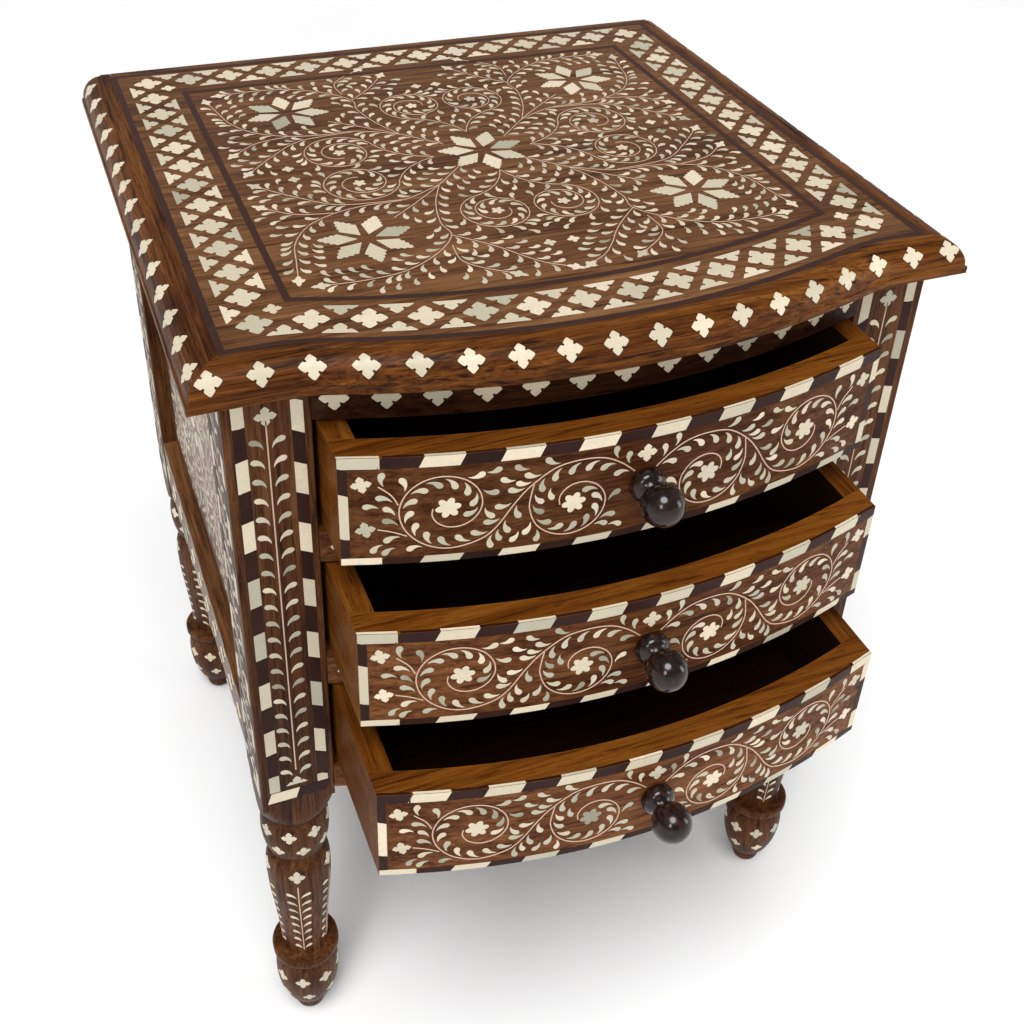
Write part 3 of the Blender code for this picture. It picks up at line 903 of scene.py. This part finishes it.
RAIL_FOILS, RAIL_PITCH = 13, 28
case_bone = Inlay("case_bone_inlay", "root", BONE, dull=0.10)
case_ebony = Inlay("case_ebony_strips", "root", EBONY_STRIP, "black_wood")
for node_name, radius, share in (("apron_rail", 8.2, 0.56), ("upper_divider_rail", 6.2, 0.5),
                                 ("lower_divider_rail", 6.2, 0.5), ("bottom_rail", 6.2, 0.5)):
    low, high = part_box(node_name)
    middle = low.z + (high.z - low.z) * share
    for k in range(RAIL_FOILS):
        case_bone.piece(quatrefoil(radius, (k - RAIL_FOILS // 2) * RAIL_PITCH, 0), on_front(middle))

# --- posts
STRIP_PIECE, STRIP_PERIOD = 22.2, 44.8
OUTER_SLANT, INNER_SLANT = 3.8, 1.8
POST_BEND = 1.7
POST_TOP = 621.6
POST_FOOT = 293.3
FOOT_STRIP = (283.9, 293.3)


def upright(place):
    """Same face with u up the post and v across it, so that strips can run upwards."""
    def along(u, v):
        return place(-v, u)
    return along


POST_LINE = -0.6                      # where the middle stem runs
POST_LEAVES, POST_PITCH = 21, 13.9


def post_face(place, flip):
    """Inlay of one post face; place takes u across from the face's middle and v as height, in metres."""
    run = upright(place)
    for across, slant, phase in (((-20.9, -13.7), OUTER_SLANT, 0.0), ((12.5, 19.6), -INNER_SLANT, 9.0)):
        low, high = sorted((-flip * across[0], -flip * across[1]))
        tilt = slant * flip
        start, k = POST_FOOT - 14.0 + phase, 0
        while start < POST_TOP:
            inlay = case_bone if k % 2 == 0 else case_ebony
            first, last = max(start, POST_FOOT + 1.0), min(start + STRIP_PIECE, POST_TOP)
            if last - first > 5.0:
                low_tilt = 0.0 if first > start or last < start + STRIP_PIECE else tilt / 2
                inlay.slab(low, high, first, last, low_tilt, -low_tilt, run, 1)
            start, k = start + STRIP_PERIOD / 2, k + 1
    for inlay, one, two in ((case_ebony, -20.9, 0.0), (case_bone, 0.4, 20.3)):
        low, high = sorted((flip * one, flip * two))
        inlay.slab(FOOT_STRIP[0], FOOT_STRIP[1], low, high, -1.5, 1.5, place, 1)
    case_bone.ribbon([(POST_LINE, 312.0 + 4 * k) for k in range(74)], 0.9, place)
    case_bone.piece(quatrefoil(6.6, POST_LINE, 607.0), place)
    case_bone.piece(turned(half_quatrefoil(7.4), 0, POST_LINE, 297.6), place)
    for k in range(POST_LEAVES):
        height = 306.5 + POST_PITCH * k
        for side in (1, -1):
            outline = turned(leaf(11.2, 4.2, -POST_BEND * side), side * 0.10, POST_LINE - side * 2.6, height)
            case_bone.piece(outline, place, dull=0.2)


for side in (-1, 1):
    post_face(on_post_front(side * LEG_X), side)
    for middle in (FRONT_PLANE + POST / 2, BACK_PLANE - POST / 2):
        post_face(on_side(side, POST_OUTER, middle, 0.0), 1)

# --- sides
SIDE_PITCH = 29
for label, side in (("left", -1), ("right", 1)):
    for rail in ("upper_rail", "lower_rail"):
        low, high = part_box(f"{label}_{rail}")
        middle = (low.y + high.y) / 2
        place = on_side(side, POST_OUTER, middle, 0.0)
        height = (low.z + high.z) / 2 / MM
        for k in range(-5, 6):
            case_bone.piece(quatrefoil(8.0, k * SIDE_PITCH, height), place)
            if k < 5:
                for up, angle in ((1, 0), (-1, pi)):
                    half = turned(half_quatrefoil(6.0), angle, (k + 0.5) * SIDE_PITCH, height - up * 17.5)
                    case_bone.piece(half, place)

panel_low, panel_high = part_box("left_panel")
PANEL_HALF_WIDE = (panel_high.y - panel_low.y) / 2 / MM
PANEL_HALF_HIGH = (panel_high.z - panel_low.z) / 2 / MM
RIM_IN, PANEL_EDGE = 9, 14


def in_panel(point, radius):
    edge = PANEL_EDGE + radius
    return abs(point[0]) < PANEL_HALF_WIDE - edge and abs(point[1]) < PANEL_HALF_HIGH - edge


panel = Pattern(in_panel)
for k in range(7):
    angle = 2 * pi * k / 7
    panel.shapes.append(turned(petal(27), angle))
    panel.take(turned([(0.0, 14.0)], angle)[0], 8.0)
for sx in (1, -1):
    for sy in (1, -1):
        lead = smooth_path(((14, 12), (30, 20), (44, 36)))[:-1]
        coil = spiral((80, 56), 214, -1, (41, 39, 36, 32, 27, 21, 15, 11))
        path = [(sx * x, sy * y) for x, y in lead + coil]
        panel.stem(path)
        centre = (sx * 80, sy * 56)
        panel.shape(turned(lobed(7.0, 6, 0.6), 0, *centre), centre, 7.0)
        branch = [(sx * x, sy * y) for x, y in smooth_path(((117, 72), (130, 84), (136, 96)))]
        panel.stem(branch)
        corner = (sx * 139, sy * 103)
        panel.shape(quatrefoil(6.0, *corner), corner, 6.0)
for sx, sy in ((1, 0), (-1, 0), (0, 1), (0, -1)):
    reach = 128 if sx else 92
    path = smooth_path([(sx * t * reach, sy * t * reach) for t in (0.27, 0.5, 0.75, 1.0)])
    panel.stem(path)
    angle = atan2(sy, sx) - pi / 2
    tip = (sx * (reach + 7), sy * (reach + 7))
    panel.shape(turned(bud(13.0), angle, sx * reach, sy * reach), tip, 4.5)
panel.fill(panel.stems, (10.0, 9.6, 3.8, 0.3, 0.9, 2.2, 3.0), (8.0, 9.6, 3.8, 0.3, 1.5, 2.6, 6.0),
           (8.0, 9.6, 3.8, 0.3, 1.6, 10.0, 4.0), (8.0, 9.6, 3.8, 0.3, 1.8, 18.0, 2.0))
for label, side in (("left", -1), ("right", 1)):
    low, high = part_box(f"{label}_panel")
    face = max(abs(low.x), abs(high.x))
    place = on_side(side, face, (low.y + high.y) / 2, (low.z + high.z) / 2)
    panel.lay(case_bone, place, 1.0)
    u, v = PANEL_HALF_WIDE - RIM_IN, PANEL_HALF_HIGH - RIM_IN
    rim = [(-u, -v), (u, -v), (u, v), (-u, v)]
    case_ebony.ribbon(rim, 3.0, place, closed=True)

# --- drawer fronts
front_low, front_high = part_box("drawer_1_front")
FACE_HALF = (front_high.z - front_low.z) / 2 / MM
FACE_END = front_high.x / MM
TOP_STRIP, BOTTOM_STRIP, END_STRIP = 7.6, 5.0, 5.4


def in_drawer_field(point, radius):
    x, z = point
    return (abs(x) < FACE_END - END_STRIP - 1.2 - radius
            and -FACE_HALF + BOTTOM_STRIP + 1.2 + radius < z < FACE_HALF - TOP_STRIP - 1.0 - radius)


scroll = Pattern(in_drawer_field)
HEART_A, HEART_B = (-117.0, 1.0), (-44.0, -6.0)
A_RADII = (8.5, 14.0, 19.0, 22.5, 27.0, 30.0)
B_RADII = (8.5, 14.0, 19.5, 23.0, 26.5)
S_CURVE = ((-100.0, -25.0), (-90.0, -17.0), (-79.0, 0.0), (-70.0, 11.0), (-56.0, 21.5), (-41.0, 24.5), (-27.0, 23.0),
           (-16.0, 17.0), (-7.0, 9.0))
coil_a = spiral(HEART_A, 180, 1, A_RADII)
main_stem = smooth_path(coil_a[::2] + list(S_CURVE))
coil_b = smooth_path(spiral(HEART_B, 180, -1, B_RADII)[::2] + [(-70.0, 3.5), (-68.5, 11.5)])
twigs = (smooth_path(((-144.5, 5.0), (-148.0, 12.0), (-155.0, 18.5))),
         smooth_path(((-140.0, -18.0), (-148.0, -14.5), (-156.0, -12.5))))
SHORT_PATH = 12
drawer_stems = []
for flip in (1, -1):
    for path in (main_stem, coil_b, *twigs):
        path = [(flip * x, z) for x, z in path]
        scroll.stem(path)
        drawer_stems.append(path if len(path) < SHORT_PATH else path[::-1])
    for centre, outline, radius in (
            ((-164.0, 20.0), quatrefoil(5.8), 5.8), ((-162.5, -12.5), quatrefoil(5.8), 5.8),
            (HEART_A, lobed(7.4, 6, 0.60), 7.4), (HEART_B, lobed(7.4, 6, 0.60), 7.4)):
        centre = (flip * centre[0], centre[1])
        scroll.shape(turned(outline, 0.2, *centre), centre, radius)
scroll.shape(quatrefoil(6.4, 0.0, 20.5), (0.0, 20.5), 6.4)
scroll.take((0.0, 0.0), 12.0)
scroll.fill(drawer_stems, (12.0, 10.4, 4.1, 0.16, 1.0, 2.0, 3.0), (9.0, 9.4, 3.9, 0.16, 1.8, 2.2, 7.0),
            (9.0, 9.4, 3.9, 0.4, 2.0, 10.5, 2.0))

STRIP = 22.4


def strip_rows(inlays, first_length, lean, rows):
    """Alternating pieces from end to end of a drawer front; rows are (low, high, way the foot leans, place)."""
    start, k = 0.2 - FACE_END, 0
    while start < FACE_END - 1:
        end = min(start + (STRIP if k else first_length), FACE_END - 0.2)
        slant = lean if 0 < k and end < FACE_END - 1 else 0.0
        for low, high, way, place in rows:
            inlays[k % 2].slab(low, high, start, end, way * slant, slant, place)
        start, k = end, k + 1


for number in (1, 2, 3):
    low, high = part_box(f"drawer_{number}_front")
    body = f"drawer_{number}"
    middle = (low.z + high.z) / 2
    outward = FRONT_PLANE - BOW - low.y
    place = on_front(middle, outward)
    bone_inlay = Inlay(f"{body}_bone_inlay", body, BONE)
    ebony_inlay = Inlay(f"{body}_ebony_strips", body, EBONY_STRIP, "black_wood")
    scroll.lay(bone_inlay, place, 0.8, dull=0.22)

    def on_top_edge(u, v, height=high.z, out=outward):
        """u is x, v how far behind the bowed face, on the front's upper edge."""
        return Vector((u, FRONT_PLANE - out - bow(u) + v, height)), Vector((0, 0, 1))

    inlays = (bone_inlay, ebony_inlay)
    upper_rows = ((FACE_HALF - TOP_STRIP, FACE_HALF - 0.15, -1, place), (0.2, 1.9, 1, on_top_edge))
    if number < 3:
        strip_rows(inlays, STRIP, 1.6, upper_rows)
    else:
        strip_rows(inlays[::-1], 19.5, 1.6, upper_rows)
    strip_rows(inlays, STRIP, 1.4, ((0.2 - FACE_HALF, BOTTOM_STRIP - FACE_HALF, -1, place),))
    upper = FACE_HALF - TOP_STRIP - 0.1
    lower = -FACE_HALF + BOTTOM_STRIP + 0.1
    for side, breaks in ((-1, (0.0, 0.28, 0.78, 1.0)), (1, (0.0, 0.25, 0.74, 1.0))):
        one, two = sorted((-side * (FACE_END - 0.2), -side * (FACE_END - END_STRIP)))
        for k, (a, b) in enumerate(zip(breaks, breaks[1:])):
            inlay = ebony_inlay if (k % 2 == 0) == (side == -1) else bone_inlay
            foot, head = upper - (upper - lower) * b, upper - (upper - lower) * a
            foot_lean = 0.0 if k == 2 else side * 0.9
            inlay.slab(one, two, foot, head, foot_lean, -foot_lean, upright(place), 1)
    bone_inlay.finish()
    ebony_inlay.finish()

# --- turnings
# height and radius, in tenths of a millimetre
LEG_STATIONS = (
    (0, 85), (22, 109), (65, 121), (125, 127), (150, 138), (172, 163), (250, 197), (350, 226), (460, 242),
    (560, 245), (660, 235), (730, 216), (765, 200), (775, 249), (790, 258), (835, 258), (850, 249), (855, 180),
    (880, 174), (1000, 179), (1130, 188), (1320, 204), (1570, 228), (1720, 237), (1860, 239), (1950, 231),
    (2000, 216), (2020, 196), (2045, 190), (2070, 198), (2085, 212), (2120, 222), (2180, 238), (2260, 247),
    (2340, 248), (2420, 240), (2480, 222), (2510, 205), (2512, 236), (2540, 250), (2600, 281), (2670, 308),
    (2730, 326), (2758, 334), (2766, 346), (2767, 380),
)
LEG_PROFILE = tuple((z / 10000, r / 10000) for z, r in LEG_STATIONS)
CORNER_ROUND = 0.0010
PAST_CORNERS = 0.0380              # a radius outside the square, so that the square shows


def post_radius(angle):
    """Distance from the axis to the faces of the square post."""
    a = abs((angle + pi / 4) % (pi / 2) - pi / 4)
    flat = POST / 2 / cos(a)
    inner = POST / 2 - CORNER_ROUND
    reach = hypot(inner, inner)
    off = pi / 4 - a
    rounded = reach * cos(off) + sqrt(max(0.0, CORNER_ROUND ** 2 - (reach * sin(off)) ** 2))
    return min(flat, rounded) if reach * sin(off) < CORNER_ROUND else flat


def leg_angles():
    """Even steps, with a few more at the corners of the square."""
    angles = [2 * pi * k / 64 for k in range(64)]
    near = (0.55, 1.15, 1.62)
    for quarter in range(4):
        corner = pi / 4 + quarter * pi / 2
        angles += [corner + s * radians(n) for n in near for s in (1, -1)]
    return sorted(a % (2 * pi) for a in angles)


SQUARE_HEIGHTS = (LEG_PROFILE[-1][0] + 0.0001, 0.285, 0.45, POST_HIGH.z - 0.0004)


def leg_heights():
    """(height, turned radius) up a leg: arcs between the stations where the line is a curve, then the square."""
    fine = []
    ends = (LEG_PROFILE[0],) + LEG_PROFILE + (LEG_PROFILE[-1],)
    for a, b, c, d in zip(ends, ends[1:], ends[2:], ends[3:]):
        length = dist(b, c)
        count = 1 if length < 0.0024 else (2 if length < 0.007 else 4)
        sharp = [abs(q[1] - p[1]) > 1.2 * abs(q[0] - p[0]) for p, q in ((a, b), (b, c), (c, d)) if p != q]
        for i in range(count):
            t = i / count
            if any(sharp):
                fine.append((b[0] + (c[0] - b[0]) * t, b[1] + (c[1] - b[1]) * t))
            else:
                fine.append(curve_point(a, b, c, d, t))
    return fine + [LEG_PROFILE[-1]] + [(z, PAST_CORNERS) for z in SQUARE_HEIGHTS]


def make_leg(node_name, material):
    low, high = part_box(node_name)
    x, y = (low.x + high.x) / 2, (low.y + high.y) / 2
    angles = leg_angles()
    count = len(angles)
    vertices, rings = [], []
    for z, r in leg_heights():
        rings.append(range(len(vertices), len(vertices) + count))
        for a in angles:
            reach = min(r, post_radius(a))
            vertices.append((x + reach * cos(a), y + reach * sin(a), low.z + z))
    faces = [face for one, two in zip(rings, rings[1:]) for face in band(one, two)]
    faces += [tuple(rings[0])[::-1], tuple(rings[-1])]
    leg = add_turning(node_name + "_turned", vertices, faces, material, radians(32))
    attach(leg, "root")
    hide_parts(node_name)
    return x, y


def on_leg(x, y, angle, height):
    """Face of a turning about a vertical line: u round it, v up it, from (angle, height)."""
    def radius(z):
        for (z0, r0), (z1, r1) in zip(LEG_PROFILE, LEG_PROFILE[1:]):
            if z0 <= z <= z1:
                return r0 + (r1 - r0) * (z - z0) / (z1 - z0)
        return LEG_PROFILE[-1][1]
    base = radius(height)
    slope = (radius(height + 0.004) - radius(height - 0.004)) / 0.008

    def place(u, v):
        z = height + v / hypot(1.0, slope)
        r = radius(z)
        tilt = (radius(z + 0.002) - radius(z - 0.002)) / 0.004
        a = angle + u / base
        normal = Vector((cos(a), sin(a), -tilt)).normalized()
        return Vector((x + r * cos(a), y + r * sin(a), z)), normal
    return place


# rows of pieces round the leg: height, count, radius and share of a step by which the row is turned
LEG_ROWS = ((0.2205, 8, 5.6, 0.0), (0.2375, 8, 5.8, 0.5), (0.0345, 7, 5.2, 0.0), (0.0565, 8, 6.0, 0.5))
SPRIGS = 5
leg_bone = Inlay("leg_bone_inlay", "root", BONE, dull=0.05)
for number, node_name in enumerate(("front_left_leg", "front_right_leg", "back_left_leg", "back_right_leg")):
    material = wood(f"wood_{node_name}", "Z", POST_TONES, 31.0 + number * 1.3, shine=0.10)
    x, y = make_leg(node_name, material)
    for height, count, radius, phase in LEG_ROWS:
        for k in range(count):
            angle = 2 * pi * (k + phase) / count
            leg_bone.piece(quatrefoil(radius), on_leg(x, y, angle, height), curved=True)
    for k in range(SPRIGS):
        angle = 2 * pi * (k + 0.25) / SPRIGS - 0.9
        leg_bone.piece(quatrefoil(6.4), on_leg(x, y, angle, 0.1905), curved=True)
        sprig = on_leg(x, y, angle, 0.1400)
        leg_bone.ribbon([(0.0, -48.0 + 4 * step) for step in range(23)], 0.8, sprig)
        for step in range(8):
            size = 8.2 + 0.12 * step
            for side in (1, -1):
                outline = turned(leaf(size, 3.2, -BEND * side), side * 0.30, -side * 1.5, -46.0 + 10.2 * step)
                leg_bone.piece(outline, sprig)

for inlay in (top_ebony, top_bone, moulding_bone, case_bone, case_ebony, leg_bone):
    inlay.finish()

# knobs
KNOB_SIDES = 48
BALL_CENTRE, BALL_RADIUS, NECK = 0.0238, 0.0132, 0.0122
# distance out and radius of the knob's stem, in tenths of a millimetre
KNOB_STEM = ((0, 92), (5, 101), (14, 108), (30, 112), (48, 112), (66, 109),
             (80, 103), (90, 93), (97, 82), (104, 74))


def knob_profile():
    """(distance out from the drawer front, radius)."""
    points = [(0.0, 0.0)] + [(out / 10000, r / 10000) for out, r in KNOB_STEM]
    start = acos((BALL_CENTRE - NECK) / BALL_RADIUS)
    for i in range(25):
        a = start + (pi - start) * i / 24
        points.append((BALL_CENTRE - BALL_RADIUS * cos(a), BALL_RADIUS * sin(a)))
    return points[:-1] + [(points[-1][0], 0.0)]


for number in (1, 2, 3):
    low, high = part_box(f"drawer_{number}_knob")
    middle = (low.z + high.z) / 2
    vertices, faces, rings = [], [], []
    for out, r in knob_profile():
        count = KNOB_SIDES if r else 1
        ring = range(len(vertices), len(vertices) + count)
        for k in range(count):
            a = 2 * pi * k / KNOB_SIDES
            vertices.append((r * cos(a), high.y - out, middle + r * sin(a)))
        rings.append([ring[k % count] for k in range(KNOB_SIDES)])
    for one, two in zip(rings, rings[1:]):
        faces += [tuple(dict.fromkeys(face)) for face in band(one, two)]
    knob = add_turning(f"drawer_{number}_turned_knob", vertices, faces, KNOB_BLACK, radians(60))
    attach(knob, f"drawer_{number}")
    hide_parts(f"drawer_{number}_knob")

# --- floor, lights, camera
FLOOR_HALF = 6.0
corners = [(x * FLOOR_HALF, y * FLOOR_HALF, 0) for x, y in ((-1, -1), (1, -1), (1, 1), (-1, 1))]
floor = add_mesh("floor", corners, [(0, 1, 2, 3)], FLOOR_PAINT)
floor.location.z = cad_low.z - 0.0003
floor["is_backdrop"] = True


def add_light(name, kind, energy, place, towards, settings):
    data = bpy.data.lights.new(name, kind)
    data.energy = energy
    for key, value in settings.items():
        setattr(data, key, value)
    light = add_object(name, data)
    light.location = place
    light.rotation_mode = "QUATERNION"
    light.rotation_quaternion = towards.to_track_quat("-Z", "Y")


# name, watts, place, target, width, height, colour
for name, power, place, target, wide, high, colour in (
        ("window_front_left", 14, (-1.5, -2.0, 1.9), (0, -0.1, 0.4), 0.5, 0.8, (1.0, 1.0, 1.0)),
        ("window_right", 10, (2.2, -1.2, 1.0), (0, 0, 0.4), 0.6, 1.0, (1.0, 0.99, 0.97))):
    add_light(name, "AREA", power, place, Vector(target) - Vector(place),
              {"shape": "RECTANGLE", "size": wide, "size_y": high, "color": colour})

KEY_AZIMUTH, KEY_HEIGHT = radians(-28), radians(66)
key_from = Vector((sin(KEY_AZIMUTH) * cos(KEY_HEIGHT), -cos(KEY_AZIMUTH) * cos(KEY_HEIGHT),
                   sin(KEY_HEIGHT)))
add_light("key", "SUN", 2.8, (0, 0, 0), -key_from, {"angle": radians(32)})

# even dome, brighter in a band just above the horizon
DOME, HORIZON = 0.29, 0.93
world = bpy.data.worlds.new("studio")
world.use_nodes = True
sky = world.node_tree
upward = axes_of(sky, add(sky, "TexCoord").outputs["Generated"])[2]
feed(sky, sky.nodes["Background"], {"Color": (1, 1, 1), "Strength": spread(sky, upward, 0.08, 0.26, HORIZON, DOME)})
bpy.context.scene.world = world
bpy.context.scene.view_settings.view_transform = "Standard"

CAMERA_PLACE = Vector((-0.3128, -0.7338, 1.0396))
CAMERA_RIGHT = Vector((0.92955, -0.36705, 0.03487)).normalized()
CAMERA_AHEAD = Vector((0.31992, 0.75593, -0.57115)).normalized()
LENS, SENSOR = 46.78, 36.0
LENS_SHIFT = -0.109375                # upwards, in frame widths
camera_data = bpy.data.cameras.new("camera")
camera_data.lens = LENS
camera_data.sensor_width = SENSOR
camera_data.shift_y = LENS_SHIFT
camera = add_object("camera", camera_data)
camera_up = CAMERA_RIGHT.cross(CAMERA_AHEAD)
axes = Matrix((CAMERA_RIGHT, camera_up, -CAMERA_AHEAD)).transposed()
camera.matrix_world = Matrix.Translation(CAMERA_PLACE) @ axes.to_4x4()
bpy.context.scene.camera = camera

low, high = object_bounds()
